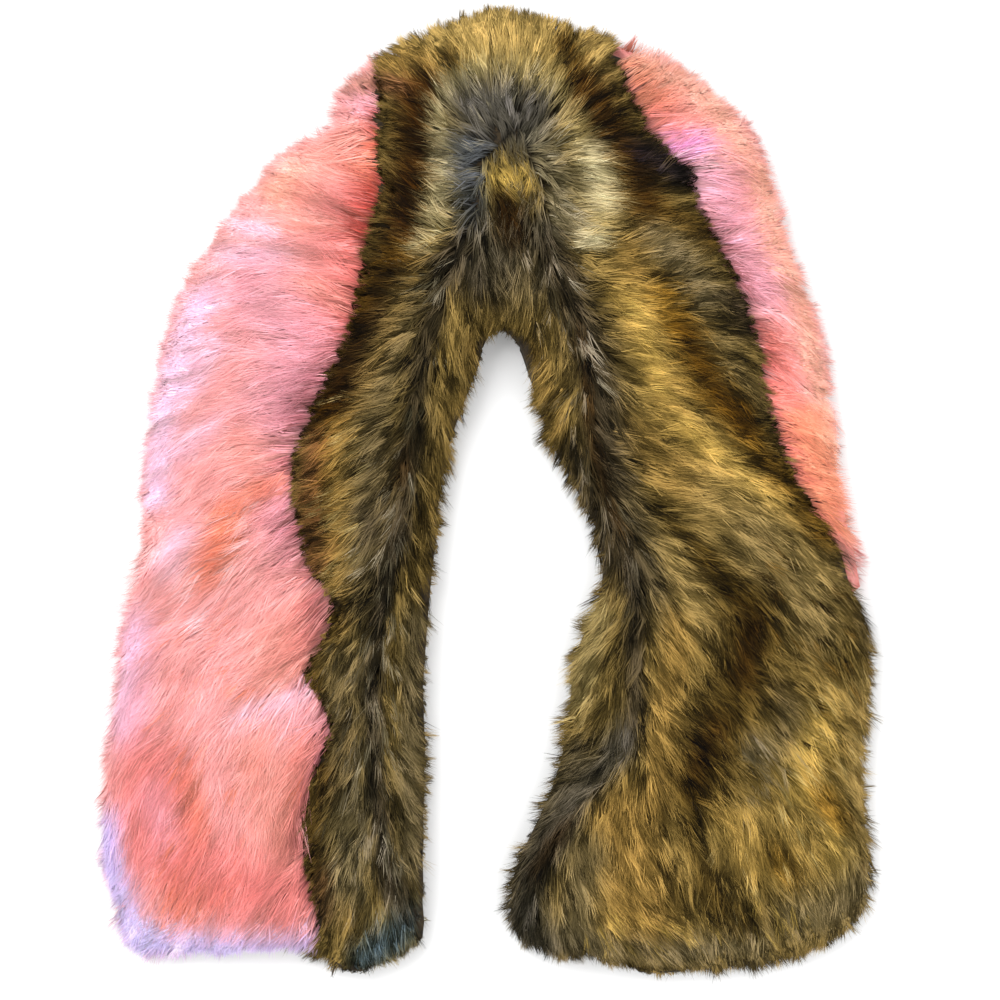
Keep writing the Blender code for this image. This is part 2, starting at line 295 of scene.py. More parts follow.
BROWN_STROKES = strokes(
    # Over the neck bend
    ("top_gold", WHEAT, 26, 85, -53,348, -14,363, 17,366, 56,353, 80,340),
    ("top_dark_left", UMBER, 9, 60, -33,344, -44,328, -50,311),
    ("shoulder_streaks", CARAMEL, 14, 75, -82,334, -62,342),
    ("shoulder_rust", RUST, 10, 70, -92,318, -70,316),
    # Beside the seam of the left leg: painted shade in the valley along it
    ("valley", PITCH, 17, 97, -57,319, -63,297, -64,262, -69,227, -75,199, -90,161, -100,132,
        -108,104, -119,80, -129,58),
    ("valley_low", UMBER, 13, 75, -129,58, -137,35, -141,8, -143,-15, -140,-38, -139,-60),
    ("valley_foot", UMBER, 7, 45, -140,-116, -143,-136, -129,-194, -131,-233, -140,-280, -133,-319),
    # The ring round the grey neck, and what lies in it
    ("ring_gold_left", STRAW, 7, 75, -64,188, -53,208, -47,240, -48,270, -47,297, -36,322, -8,336),
    ("ring_gold_top", SAND, 9, 80, -8,333, 13,336, 33,333, 52,321),
    ("ring_gold_right", SAND, 10, 90, 52,322, 68,306, 84,279, 96,248, 100,222, 92,198),
    ("ring_pale", CREAM, 12, 75, 90,262, 98,223),
    ("neck_grey", SLATE, 21, 97, -16,304, 15,308, 38,300),
    ("neck_grey_core", SLATE, 24, 95, -10,270, 16,278, 36,268),
    ("neck_smoke", SMOKE, 17, 95, 50,262, 62,235, 64,208, 52,188),
    ("neck_lead", LEAD, 19, 90, -22,262, -20,230, -16,207),
    ("neck_inside", GRAPHITE, 20, 75, -10,186, 14,178, 36,188),
    ("left_neck_dark", COAL, 18, 80, -44,170, -22,162, -6,150),
    # ring_white is a painted highlight on the ring
    ("ring_white", CREAM, 8, 95, 84,193, 96,193),
    ("tuft_gold", GOLD, 8.5, 97, 10,232, 27,232),
    ("tuft_side", SAND, 5, 60, -5,240, -1,222, 8,210),
    # pocket is painted shade in the hollow of the neck's pucker
    ("pocket", PITCH, 11, 90, 16,211, 20,190),
    ("crotch", GRAPHITE, 20, 45, -4,160, 14,150, 36,150),
    # The left leg
    ("amber_top", BRONZE, 8, 60, -80,190, -98,160, -110,140),
    ("olive", MOSS, 20, 90, -68,150, -82,112, -94,72, -99,20, -98,-20, -100,-60, -100,-100),
    ("gold_band", CARAMEL, 9, 78, -122,48, -125,20, -125,-20, -127,-60, -122,-96, -122,-120),
    ("gold_top", CARAMEL, 8, 40, -66,176, -78,142, -92,104, -108,66),
    ("rose_shade", RUST, 8, 50, -142,40, -146,4, -145,-30, -139,-62),
    ("spine", COAL, 13, 85, -33,179, -41,149, -48,118, -54,87, -58,55, -60,16, -66,-23, -70,-48),
    ("spine_low", COAL, 11, 92, -70,-48, -81,-85, -89,-120, -88,-155, -88,-194, -84,-233, -81,-280,
        -72,-319),
    ("dark_a", PITCH, 8, 70, -66,16, -70,1),
    ("dark_b", COAL, 9, 70, -106,-23, -98,-42),
    ("dark_c", COAL, 8, 60, -101,-147, -95,-167),
    ("dark_d", UMBER, 8, 60, -128,-225, -119,-241),
    ("dark_e", UMBER, 8, 50, -112,-186, -108,-218),
    ("inner_tan", CARAMEL, 12, 10, -8,100, -22,51, -33,12, -39,-30, -45,-77),
    ("mid_dark", COAL, 18, 35, -76,20, -82,-25, -84,-62),
    ("inner_fawn", FAWN, 14, 60, -50,-110, -54,-179, -54,-241, -54,-300),
    ("khaki_low", KHAKI, 19, 70, -112,-140, -112,-180, -112,-220),
    ("fawn_low", FAWN, 19, 65, -110,-250, -110,-285, -112,-325),
    ("foot_gold", CARAMEL, 9, 50, -114,-330, -108,-348),
    # the next stroke is reddish brown, along the seam at the foot
    ("foot_mud", RUST, 8, 40, -133,-303, -129,-335),
    ("foot_teal", TEAL, 16, 85, -58,-342, -74,-356, -96,-370),
    ("foot_grey", COAL, 11, 60, -69,-311, -65,-335),
    # Beside the seam of the right leg
    # valley_top to edge_plum: painted shade in the valley along the seam, with a painted blue-black
    # shadow in valley_blue
    ("valley_top", UMBER, 9, 85, 62,356, 72,337, 80,322),
    ("valley", PITCH, 15, 88, 82,318, 92,301, 104,280, 116,264, 126,244, 130,222),
    ("valley_blue", INK, 11, 85, 130,264, 147,255, 161,244),
    ("valley_side", UMBER, 9, 50, 134,215, 158,210, 183,193),
    ("edge_plum", INK, 8, 50, 196,148, 210,122),
    ("grey_patch", ASH, 14, 55, 137,196, 158,179, 175,149),
    ("olive_dark", MOSS, 17, 60, 180,130, 190,95, 200,70, 206,50),
    # Its outer side
    ("bronze", BRONZE, 14, 86, 146,156, 156,130, 166,104, 177,80, 193,58, 212,34, 232,8, 250,-16,
        267,-42),
    ("bronze_dark", UMBER, 10, 70, 160,122, 174,92, 190,64, 206,44),
    ("amber", AMBER, 6, 40, 140,150, 146,134, 152,120),
    ("gold_top", CARAMEL, 14, 75, 120,188, 124,170, 118,152),
    ("gold_band", HONEY, 14, 95, 118,150, 124,133, 132,112, 138,92, 144,73, 153,53, 168,36, 188,18,
        208,1, 228,-16),
    ("gold_core", GOLD, 6, 70, 120,144, 128,122, 135,98, 142,74),
    ("gold_core_low", GOLD, 7, 60, 160,46, 180,28, 203,8, 226,-12),
    ("gold_shade", CARAMEL, 18, 50, 124,40, 146,14, 172,-8, 200,-30),
    # Its inner side, and the foot under that
    ("spine", COAL, 23, 92, 54,172, 68,148, 78,120, 86,90, 92,50, 98,16, 104,-12, 113,-42, 119,-75),
    ("spine_dark", PITCH, 6, 55, 74,110, 78,60, 88,20, 98,-16, 110,-44),
    ("spine_low", COAL, 12, 85, 117,-75, 116,-100, 110,-130, 116,-172, 106,-202),
    ("foot_dark", GRAPHITE, 17, 90, 98,-204, 80,-222, 62,-250, 45,-280, 32,-310, 30,-342),
    ("foot_edge", GRAPHITE, 10, 60, 60,-205, 48,-238, 26,-278, 16,-312),
    ("foot_pitch", PITCH, 8, 50, 56,-263, 33,-303),
    ("inner_tan", CARAMEL, 9, 45, 32,100, 41,62, 50,36),
    ("inner_dark", COAL, 12, 70, 62,22, 74,-4, 86,-34, 90,-66),
    ("inner_cream", SAND, 13, 70, 78,-101, 69,-136, 66,-167),
    # Its ridge, and the crease beside it; the crease strokes are painted shade in the crease
    ("ridge_shade", MOSS, 15, 60, 118,-20, 128,-44, 136,-76, 136,-110),
    ("ridge_gold", TAN, 12, 85, 148,-50, 160,-68, 169,-90, 172,-112),
    ("ridge_tan", CARAMEL, 14, 75, 152,-112, 146,-150, 139,-200, 132,-250),
    ("foot_caramel", CARAMEL, 30, 80, 104,-262, 116,-300, 124,-345),
    ("leg_tan", TAN, 28, 70, 190,-14, 225,-50, 262,-80),
    ("crease", PEAT, 5, 85, 150,-26, 164,-42, 178,-58),
    ("crease_wide", PEAT, 11, 92, 176,-58, 190,-72, 202,-86, 212,-100),
    ("crease_low", PEAT, 27, 88, 210,-98, 207,-130, 199,-160, 187,-190, 175,-215, 168,-236),
    ("crease_pit", PITCH, 11, 60, 210,-112, 203,-150),
    ("crease_pit_low", PITCH, 9, 55, 184,-186, 170,-212, 163,-240),
    ("crease_foot", PEAT, 9, 60, 163,-240, 160,-268, 165,-292, 173,-312, 187,-334, 200,-350),
    # Its outer side below, and the golden foot
    ("leg_olive", KHAKI, 22, 40, 212,-38, 243,-77, 259,-116),
    ("leg_silver", ASH, 11, 55, 210,-207, 232,-204, 243,-179),
    ("leg_smoke", COAL, 12, 45, 236,-163, 243,-198),
    ("edge_smoke", COAL, 9, 50, 303,-97, 303,-130),
    ("gold_field", HONEY, 34, 50, 272,-188, 256,-225, 240,-268, 250,-292),
    ("gold_patch_b", GOLD, 13, 50, 262,-186, 250,-214, 244,-240),
    ("gold_patch_c", HONEY, 15, 75, 194,-262, 200,-285, 206,-303),
    ("gold_patch_d", AMBER, 10, 40, 224,-288, 236,-303),
    ("gold_patch_e", GOLD, 12, 45, 273,-276, 276,-303),
    ("gold_patch_f", AMBER, 10, 50, 263,-241, 282,-264),
    ("patch_dark_a", PEAT, 7, 50, 236,-290, 246,-308),
    ("patch_dark_b", PEAT, 10, 55, 167,-315, 184,-336, 198,-346),
    ("patch_dark_c", PEAT, 10, 55, 218,-335, 243,-346),
    ("corner_khaki", FAWN, 20, 60, 240,-340, 270,-330, 288,-314),
    ("edge_tan", TAN, 14, 60, 296,-160, 298,-200, 296,-250, 298,-290),
    ("hem_smoke", COAL, 8, 50, 41,-358, 87,-367),
    ("hem_smoke_b", COAL, 8, 40, 134,-366, 181,-362),
    ("hem_fawn", FAWN, 13, 65, 50,-352, 87,-362, 142,-366, 212,-362),
    ("foot_olive", FAWN, 16, 50, 78,-290, 72,-320, 72,-345),
    ("foot_corner", GRAPHITE, 15, 70, 14,-335, 24,-352, 44,-364),
)
PINK_STROKES = strokes(
    # Beside the seam of the left leg, at the top
    ("notch_rose", ROSE, 12, 70, -108,305, -98,291),
    # notch_plum is partly brown hair over the lobe and partly painted shade
    ("notch_plum", RUST, 8, 55, -116,318, -100,324, -80,313),
    # seam_coral and seam_melon are painted shade: the pink is darker and redder beside the seam
    ("seam_coral", POPPY, 30, 60, -92,270, -104,230, -118,180, -130,130),
    ("seam_melon", MELON, 18, 85, -84,270, -90,230, -103,180, -114,130),
    # notch_red is painted shade, darkest red, beside the seam below the notch
    ("notch_red", BRICK, 11, 75, -94,289, -98,258, -103,228, -110,196),
    ("shoulder_salmon", SALMON, 22, 75, -115,266, -143,254, -162,227),
    # shoulder_orange is painted shade in the shoulder crease
    ("shoulder_orange", ORANGE, 8, 60, -95,266, -104,254),
    ("shoulder_peach", PEACH, 10, 50, -162,254, -176,235),
    # The left leg, its upper half
    # pale_a and pale_b are a painted highlight on the upper pink
    ("pale_a", BLUSH, 9, 80, -203,207, -176,202),
    ("pale_b", BLUSH, 10, 85, -215,183, -172,182),
    ("salmon_b", SALMON, 9, 60, -162,205, -131,207),
    ("salmon_c", SALMON, 9, 55, -154,161, -123,151),
    ("rose", ROSE, 30, 60, -193,157, -154,110, -170,71),
    ("lilac_edge", LILAC, 14, 85, -232,149, -246,114, -257,71, -264,32, -266,-7),
    ("lilac_b", LILAC, 11, 60, -221,110, -236,75),
    ("lilac_c", LILAC, 10, 50, -225,48, -240,24),
    ("seam_rose_shade", MAUVE, 14, 75, -148,83, -163,51, -171,20, -172,-15, -164,-54),
    # lower_seam_rose is painted shade beside the seam, as seam_rose_shade is
    ("lower_seam_rose", MELON, 12, 45, -152,-80, -154,-130, -148,-175, -150,-220, -158,-280),
    # Its lower half
    ("mid_coral", SALMON, 20, 50, -197,28, -182,9),
    # mid_orange is painted shade, orange, in the hollow in the middle of the leg
    ("mid_orange", ORANGE, 13, 90, -211,-24, -217,-44, -222,-73),
    ("mid_orange_b", ORANGE, 11, 50, -190,-7, -176,-1),
    ("mid_pink_left", BLUSH, 13, 75, -244,-38, -256,-66),
    ("salmon", CORAL, 34, 90, -186,-85, -217,-132, -225,-179),
    ("salmon_b", SALMON, 26, 60, -170,-124, -178,-210, -162,-288),
    ("left_rose", ROSE, 16, 75, -279,-116, -279,-155, -283,-198),
    ("left_lilac", LILAC, 9, 55, -281,-101, -289,-163, -293,-198),
    ("pale", BLUSH, 11, 80, -192,-180, -166,-172, -147,-163),
    ("pale_b", BLUSH, 10, 50, -162,-194, -139,-185),
    # mauve is painted shade beside the seam
    ("mauve", MAUVE, 7, 60, -126,-172, -126,-198, -135,-225),
    # rust and rust_b are painted shade, clay-orange, in the hollows low on the leg
    ("rust", CLAY, 10, 80, -237,-229, -231,-257, -226,-282),
    ("rust_b", CLAY, 15, 65, -248,-300, -242,-330, -210,-318),
    ("coral", POPPY, 30, 85, -264,-225, -262,-285, -193,-316, -154,-324),
    ("rose_b", ROSE, 12, 50, -264,-241, -252,-280),
    # Its fringe
    ("fringe_lilac", ICE, 15, 92, -301,-271, -298,-303, -291,-335, -281,-362),
    ("fringe_lilac_hem", ICE, 18, 95, -281,-362, -209,-369, -147,-370),
    # The band along the right leg
    ("top_salmon", SALMON, 18, 70, 119,328, 140,309, 165,293),
    ("top_rust", TILE, 16, 62, 112,350, 126,328, 140,302),
    ("top_peach", PEACH, 12, 70, 126,344, 165,324, 193,297, 208,266),
    ("red", POPPY, 10, 60, 134,291, 158,285),
    ("violet", VIOLET, 12, 85, 153,270, 172,268),
    ("violet_b", LILAC, 12, 60, 175,252, 165,231),
    ("pink", ROSE, 18, 80, 183,243, 200,196, 222,149),
    ("pink_low", CORAL, 16, 60, 236,118, 239,87),
    ("edge_peach", PEACH, 9, 80, 220,250, 232,204, 248,157, 261,110, 268,71, 276,32, 281,-7, 287,-46),
    ("low_red", MELON, 13, 75, 228,112, 234,80, 241,50, 255,12, 268,-23),
    ("tail", RUST, 16, 30, 280,-44, 290,-72),
    ("low_salmon", APRICOT, 15, 85, 256,50, 264,24, 272,0, 280,-30),
    # Beside the seams: painted shade along them
    ("right_plum_seam", PLUM, 6, 60, 184,207, 199,179, 212,145, 226,114, 226,83),
    ("right_plum_seam_b", PLUM, 5, 40, 231,51, 248,12, 267,-23, 288,-58),
    ("left_plum_seam", PLUM, 7, 55, -91,262, -95,243, -106,202, -117,155, -127,116, -145,83, -161,51,
        -169,16),
    ("left_plum_seam_b", PLUM, 7, 50, -162,-23, -155,-54, -140,-85, -146,-128, -132,-163, -130,-198,
        -140,-233, -151,-280, -142,-319),
)
# The same for single tufts, where so many percent of the tufts have the colour
BROWN_LOCKS = strokes(
    ("neck_silver", SILVER, 16, 14, -10,309, 13,313, 41,297),
    ("left_silver_a", SILVER, 9, 40, -58,168, -44,157),
    ("left_silver_b", SILVER, 8, 40, -25,254, -20,266),
    ("ring_right_silver", SILVER, 14, 18, 56,274, 68,235, 64,196),
    ("right_fall_silver", SILVER, 10, 35, 68,157, 70,126, 87,83),
    ("pocket_ash", ASH, 18, 40, 33,219, 44,180, 41,157),
    ("left_spine_silver", SILVER, 15, 14, -53,102, -69,-7, -84,-116, -84,-225),
    ("left_grey_lock", SILVER, 8, 35, -108,-51, -98,-55),
    ("left_low_silver", SILVER, 8, 35, -80,-268, -69,-296),
    ("left_inner_gold", TAN, 10, 25, -14,87, -37,-7, -47,-101),
    ("left_outer_gold", SAND, 14, 20, -112,60, -118,-23, -116,-100),
    ("left_low_ash", ASH, 22, 30, -100,-150, -104,-240, -96,-330),
    ("right_spine_ash", ASH, 20, 25, 56,100, 64,40, 90,-23, 112,-75),
    ("right_inner_pale", SAND, 10, 25, 78,-93, 67,-140, 64,-179),
    ("right_low_grey", ASH, 10, 40, 208,-206, 228,-214, 200,-241),
    ("right_hem_gold", GOLD, 14, 20, 87,-342, 165,-342, 243,-335),
    ("gold_pale_mix", SAND, 30, 12, 259,-179, 243,-264, 197,-303),
    ("leg_dark_mix", UMBER, 30, 12, 212,-54, 267,-116, 282,-210),
)
PINK_LOCKS = strokes(
    ("pale_lock_a", PALE, 4, 95, -195,-20, -199,-42, -202,-63),
    ("pale_lock_b", PALE, 5, 95, -235,-58, -230,-89, -222,-113),
    # pale_top is a painted highlight too
    ("pale_top", PALE, 12, 25, -205,205, -186,182, -213,179),
    ("pale_left", PALE, 14, 15, -240,110, -256,48, -264,-7),
    ("pale_low", PALE, 12, 12, -190,-180, -154,-172),
    ("orange_low", ORANGE, 30, 12, -225,-124, -209,-241, -240,-319),
    ("fringe_blue", HAZE, 10, 50, -296,-296, -275,-350, -209,-362),
    ("right_pale", PALE, 8, 30, 165,266, 178,249),
)

# The pieces that a strip's pile is made in, each with where its tufts stand: x from and to, y
# from and to
FAR = 999
REGIONS = {
    "brown": {
        "brown_pile_neck": (-FAR, FAR, 150, FAR),
        "brown_pile_pink_leg": (-FAR, -5, -FAR, 150),
        "brown_pile_brown_leg": (-5, FAR, -120, 150),
        "brown_pile_brown_leg_foot": (-5, FAR, -FAR, -120),
    },
    "pink": {
        "pink_pile_pink_leg": (-FAR, 0, -40, FAR),
        "pink_pile_pink_leg_foot": (-FAR, 0, -FAR, -40),
        "pink_pile_brown_leg": (0, FAR, -FAR, FAR),
    },
}

# The studio. The camera looks straight down. The floor and the lamps are in metres.
CAMERA_PLACE = (9.4, -7.0, 1800.0)
LENS = 82.0
SENSOR = 36.0
FLOOR_SIZE = 8.0
FLOOR_DROP = 0.0005
FLOOR_GREY = 0.93
Lamp = namedtuple("Lamp", "name place size power")
LAMPS = (
    Lamp("key", (-0.9, 0.9, 1.9), 1.4, 34.0),
    Lamp("fill", (1.3, -0.8, 1.7), 1.8, 14.0),
)


def linear(colour):
    """A colour of 0 to 255 as linear light."""
    share = np.asarray(colour, float) / 255.0
    return np.where(share <= 0.04045, share / 12.92, ((share + 0.055) / 1.055) ** 2.4)


def size(vectors):
    return np.linalg.norm(vectors, axis=-1)


def unit(vectors):
    return vectors / np.maximum(size(vectors), 1e-9)[..., None]


def smooth_step(values, low, high):
    share = np.clip((values - low) / (high - low), 0.0, 1.0)
    return share * share * (3.0 - 2.0 * share)


def fall_off(places, spot, power=2):
    """1 in the middle of a spot, and nearly 0 past its reach."""
    gaps = size(places - (spot.x, spot.y)) / spot.reach
    return np.exp(-(gaps**power))


def turned(ways, angles):
    """Plan directions, turned anticlockwise."""
    cos, sin = np.cos(angles), np.sin(angles)
    x, y = ways[..., 0], ways[..., 1]
    return np.stack((x * cos - y * sin, x * sin + y * cos), axis=-1)


def smooth_route(rows, steps):
    """A Catmull-Rom curve through rows of numbers, with so many points for each row."""
    rows = np.array(rows, float)
    last = len(rows) - 1
    curve = []
    for row in range(last):
        before, start, end, after = rows[np.clip([row - 1, row, row + 1, row + 2], 0, last)]
        square = 2 * before - 5 * start + 4 * end - after
        cubic = 3 * (start - end) + after - before
        for share in np.arange(steps) / steps:
            curve.append(start + 0.5 * share * (end - before + share * (square + share * cubic)))
    return np.array(curve + [rows[-1]])


def distance_to_route(places, route):
    nearest = np.full(places.shape[:-1], np.inf)
    for start, end in zip(route[:-1], route[1:]):
        run = end - start
        share = np.clip((places - start) @ run / (run @ run), 0.0, 1.0)
        nearest = np.minimum(nearest, size(places - start - share[..., None] * run))
    return nearest


# ---- the model's form ----


def welded(node):
    """A node's corners in mm and its triangles, with shared corners joined."""
    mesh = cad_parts[node].data
    mesh.calc_loop_triangles()
    points = np.empty(len(mesh.vertices) * 3)
    mesh.vertices.foreach_get("co", points)
    corners = np.empty(len(mesh.loop_triangles) * 3, int)
    mesh.loop_triangles.foreach_get("vertices", corners)
    points = np.round(points.reshape(-1, 3) / MM, 2)
    points, index = np.unique(points, axis=0, return_inverse=True)
    triangles = index.reshape(-1)[corners].reshape(-1, 3)
    whole = (triangles != np.roll(triangles, 1, axis=1)).all(axis=1)
    return points, triangles[whole]


def tree_of(points, triangles):
    return BVHTree.FromPolygons(points.tolist(), triangles.tolist())


def gaps_to(tree, points):
    return np.array([tree.find_nearest(Vector(point))[3] for point in points])


def nearest_places(known, places):
    """For each place in plan, the nearest known one's number, and how far off it is."""
    tree = KDTree(len(known))
    for index, place in enumerate(known):
        tree.insert(Vector((*place, 0)), index)
    tree.balance()
    found = [tree.find(Vector((*place, 0))) for place in places.reshape(-1, 2)]
    return np.array([hit[1] for hit in found]), np.array([hit[2] for hit in found])


def corner_normals(points, triangles):
    a, b, c = (points[triangles[:, corner]] for corner in range(3))
    faces = np.cross(b - a, c - a)
    normals = np.zeros_like(points)
    for corner in range(3):
        np.add.at(normals, triangles[:, corner], faces)
    return unit(normals)


class Plan:
    """Fields over the plan, on a grid of cells."""

    def __init__(self, low, high):
        self.low = np.array(low[:2]) / MM - MARGIN
        self.shape = tuple(np.ceil((np.array(high[:2]) / MM + MARGIN - self.low) / CELL).astype(int))
        axes = [low + CELL * np.arange(count) for low, count in zip(self.low, self.shape)]
        self.places = np.stack(np.meshgrid(*axes, indexing="ij"), axis=-1)

    def read(self, field, places):
        """A field's value at places, between its cells."""
        at = np.clip((places - self.low) / CELL, 0.0, np.array(self.shape) - 1.001)
        cell = at.astype(int)
        share = at - cell
        i, j, u, v = cell[..., 0], cell[..., 1], share[..., 0], share[..., 1]
        if field.ndim == 3:
            u, v = u[..., None], v[..., None]
        near = field[i, j] * (1 - v) + field[i, j + 1] * v
        far = field[i + 1, j] * (1 - v) + field[i + 1, j + 1] * v
        return near * (1 - u) + far * u

    def nearest(self, field, places):
        """A field's value in the cell nearest to each place."""
        at = np.rint((places - self.low) / CELL).astype(int)
        at = np.clip(at, 0, np.array(self.shape) - 1)
        return field[at[..., 0], at[..., 1]]


def blurred(field, times):
    for _ in range(times):
        padded = np.pad(field, 1, mode="edge")
        rows = (padded[:-2] + 2 * padded[1:-1] + padded[2:]) / 4
        field = (rows[:, :-2] + 2 * rows[:, 1:-1] + rows[:, 2:]) / 4
    return field


def top_heights(plan, tree):
    """The height of a solid's top at each cell, and 0 where there is none."""
    heights = np.zeros(plan.shape)
    for i, j in np.ndindex(plan.shape):
        hit = tree.ray_cast(Vector((*plan.places[i, j], SKY)), Vector((0, 0, -1)))[0]
        if hit is not None:
            heights[i, j] = hit.z
    return heights


def distance_out(plan, inside):
    """How far each cell is past the edge of a region; inside it, this is negative."""
    walled = np.pad(inside, 1)
    around = walled[:-2, 1:-1] & walled[2:, 1:-1] & walled[1:-1, :-2] & walled[1:-1, 2:]
    _, gaps = nearest_places(plan.places[inside & ~around], plan.places)
    return np.where(inside, -1.0, 1.0) * gaps.reshape(plan.shape)


def further(plan, edges):
    """How much further than its solid a strip's fur reaches, at each cell."""
    total = np.zeros(plan.shape)
    for edge in edges:
        total += edge.change * fall_off(plan.places, edge)
    return total


# ---- the backings ----

Backing = namedtuple("Backing", "points triangles normals")


def make_backing(node, other, own_out, plan, fields):
    """A strip's cloth: its solid's outer faces, set in below the fur by the depth of the pile.

    Inside the wrap, where the strips meet, a cloth goes straight down, so that they stay together.
    Where it lies under the other strip's edge it is drawn in, and its hair looks down."""
    points, triangles = welded(node)
    other_tree = tree_of(*welded(other))
    triangles = triangles[gaps_to(other_tree, points[triangles].mean(axis=1)) > PARTING_GAP]
    used, index = np.unique(triangles, return_inverse=True)
    own_tree = tree_of(points, triangles)
    points, triangles = points[used], index.reshape(-1, 3)
    normals = corner_normals(points, triangles)
    depths = np.interp(normals[:, 2], *zip(*PILE_DEPTHS))
    for corner, (point, normal) in enumerate(zip(points, normals)):
        hit = own_tree.ray_cast(Vector(point - normal), Vector(-normal))
        if hit[0] is not None:
            depths[corner] = min(depths[corner], PILE_SHARE * (hit[3] + 1.0))

    out = plan.read(fields["out"], points[:, :2])
    at_seam = 1 - smooth_step(gaps_to(other_tree, points), *SEAM_GAPS)
    at_seam = at_seam * smooth_step(-out, *SEAM_INSIDE)
    inward = -normals
    inward[:, :2] *= 1 - at_seam[:, None]
    points = points + inward * depths[:, None]
    covered = smooth_step(plan.read(own_out, points[:, :2]), *UNDER_PAST)
    covered = (covered * smooth_step(out, *UNDER_RIM))[:, None]
    points[:, :2] -= UNDER_TUCK * covered * plan.read(fields["out_way"], points[:, :2])
    points[:, 2] = np.maximum(points[:, 2] * (1 - UNDER_DROP * covered[:, 0]), CLOTH_LOWEST)
    normals = unit(normals * (1 - covered) + covered * [0.0, 0.0, -1.0])
    return Backing(points, triangles, normals)


# ---- the way that the hair is combed ----


def combed(plan):
    """The direction of the hair in plan at each cell."""
    route = smooth_route(PARTING, steps=9)
    along = unit(np.gradient(route[:, :2], axis=0))
    places = plan.places.reshape(-1, 2)
    nearest, _ = nearest_places(route[:, :2], places)
    away = places - route[nearest, :2]
    line = along[nearest]
    outer_side = line[:, 0] * away[:, 1] - line[:, 1] * away[:, 0] > 0
    across = np.column_stack((-line[:, 1], line[:, 0])) * np.where(outer_side, 1, -1)[:, None]
    far = smooth_step(size(away), *PARTING_BAND)[:, None]
    lean = np.where(outer_side, route[nearest, 2], route[nearest, 3])[:, None]
    lean = lean * (1 + NEAR_LEAN * np.exp(-((size(away) / NEAR_LEAN_REACH) ** 2))[:, None])
    ways = unit(unit(away) * far + across * (1 - far)) + lean * line
    for comb in COMBS:
        share = comb.strength * fall_off(places, comb)[:, None]
        way = (np.cos(radians(comb.degrees)), np.sin(radians(comb.degrees)))
        ways = unit(ways) * (1 - share) + share * np.array(way)
    ways = unit(ways).reshape(*plan.shape, 2)
    return unit(np.stack([blurred(ways[..., axis], COMB_BLUR) for axis in (0, 1)], axis=-1))


def swirl(places):
    """Slow, uneven turns of the hair over the plan, in radians."""
    x, y = places[..., 0], places[..., 1]
    return (
        0.14 * np.sin(x / 17 + 1.3 * np.sin(y / 29))
        + 0.12 * np.sin(y / 13 + 1.7 * np.sin(x / 23 + 2.0))
        + 0.07 * np.sin((x + y) / 6.5)
    )


def streaked(plan, comb, rng):
    """Light and dark streaks that run with the hair: noise that is drawn out along the comb."""
    noise = blurred(rng.normal(0, 1, plan.shape), 1)
    total = noise.copy()
    for way in (1, -1):
        places = plan.places
        for step in range(1, int(STREAK / CELL)):
            places = places + way * CELL * plan.read(comb, places)
            total += np.exp(-((STREAK_FADE * step * CELL / STREAK) ** 2)) * plan.read(noise, places)
    return (total - total.mean()) / total.std()


# ---- its colours ----


def painted(plan, base, strokes):
    """A strip's colour at each cell: its base with strokes laid over it."""
    colours = np.full((*plan.shape, 3), base, float)
    for stroke in strokes:
        spread = distance_to_route(plan.places, stroke.route) / stroke.reach
        cover = stroke.percent / 100 * np.exp(-(spread**3))[..., None]
        colours += cover * (np.array(stroke.colour) - colours)
    return colours


def lock_colours(places, locks, rng):
    """For each tuft, the colour of the lock that it belongs to, and 1 if there is one."""
    colours = np.zeros((len(places), 3))
    picked = np.zeros(len(places))
    for lock in locks:
        spread = distance_to_route(places, lock.route) / lock.reach
        chosen = rng.random(len(places)) < lock.percent / 100 * np.exp(-(spread**2))
        colours[chosen] = lock.colour
        picked[chosen] = 1.0
    return colours, picked


# ---- the hair ----

# A strip of fur: where its hair may reach (out), how far its roots are moved against the comb
# (tuck), and how it looks
Strip = namedtuple(
    "Strip",
    "name cut backing tufts length out tuck colours locks contrast smoothness looseness"
    " hair_look cloth_look",
)
Hairs = namedtuple("Hairs", "points normals tints along chances places")


def tuft_weights(backing):
    """Each face's share of the tufts: its area, but less for a face underneath."""
    corners = backing.points[backing.triangles]
    areas = size(np.cross(corners[:, 1] - corners[:, 0], corners[:, 2] - corners[:, 0]))
    ups = backing.normals[backing.triangles][:, :, 2].mean(axis=1)
    return areas * np.interp(ups, UNDER_UPS, (UNDER_SHARE, 1.0))


def scatter(backing, count, rng):
    """Places on a backing, and the way out of the cloth there."""
    weights = tuft_weights(backing)
    chosen = rng.choice(len(weights), count, p=weights / weights.sum())
    u, v = rng.random((2, count))
    over = u + v > 1
    u[over], v[over] = 1 - u[over], 1 - v[over]
    shares = np.column_stack((1 - u - v, u, v))[:, :, None]
    corners = backing.triangles[chosen]
    normals = unit((backing.normals[corners] * shares).sum(axis=1))
    return (backing.points[corners] * shares).sum(axis=1), normals


# A hair's corners: a left and a right one at each step, and the tip
CORNERS = 5
ALONG = (*np.repeat(STEPS[:2], 2), 1.0)
ACROSS = (0.15, 0.85, 0.15, 0.85, 0.5)
HAIR_LOOPS = (0, 1, 3, 2, 2, 3, 4)  # a quad and the pointed end
FACE_STARTS = (0, 4)


def two_sided(values):
    """Values at a hair's steps, as values at its corners."""
    return np.concatenate((np.repeat(values[:, :, :2], 2, axis=2), values[:, :, 2:]), axis=2)


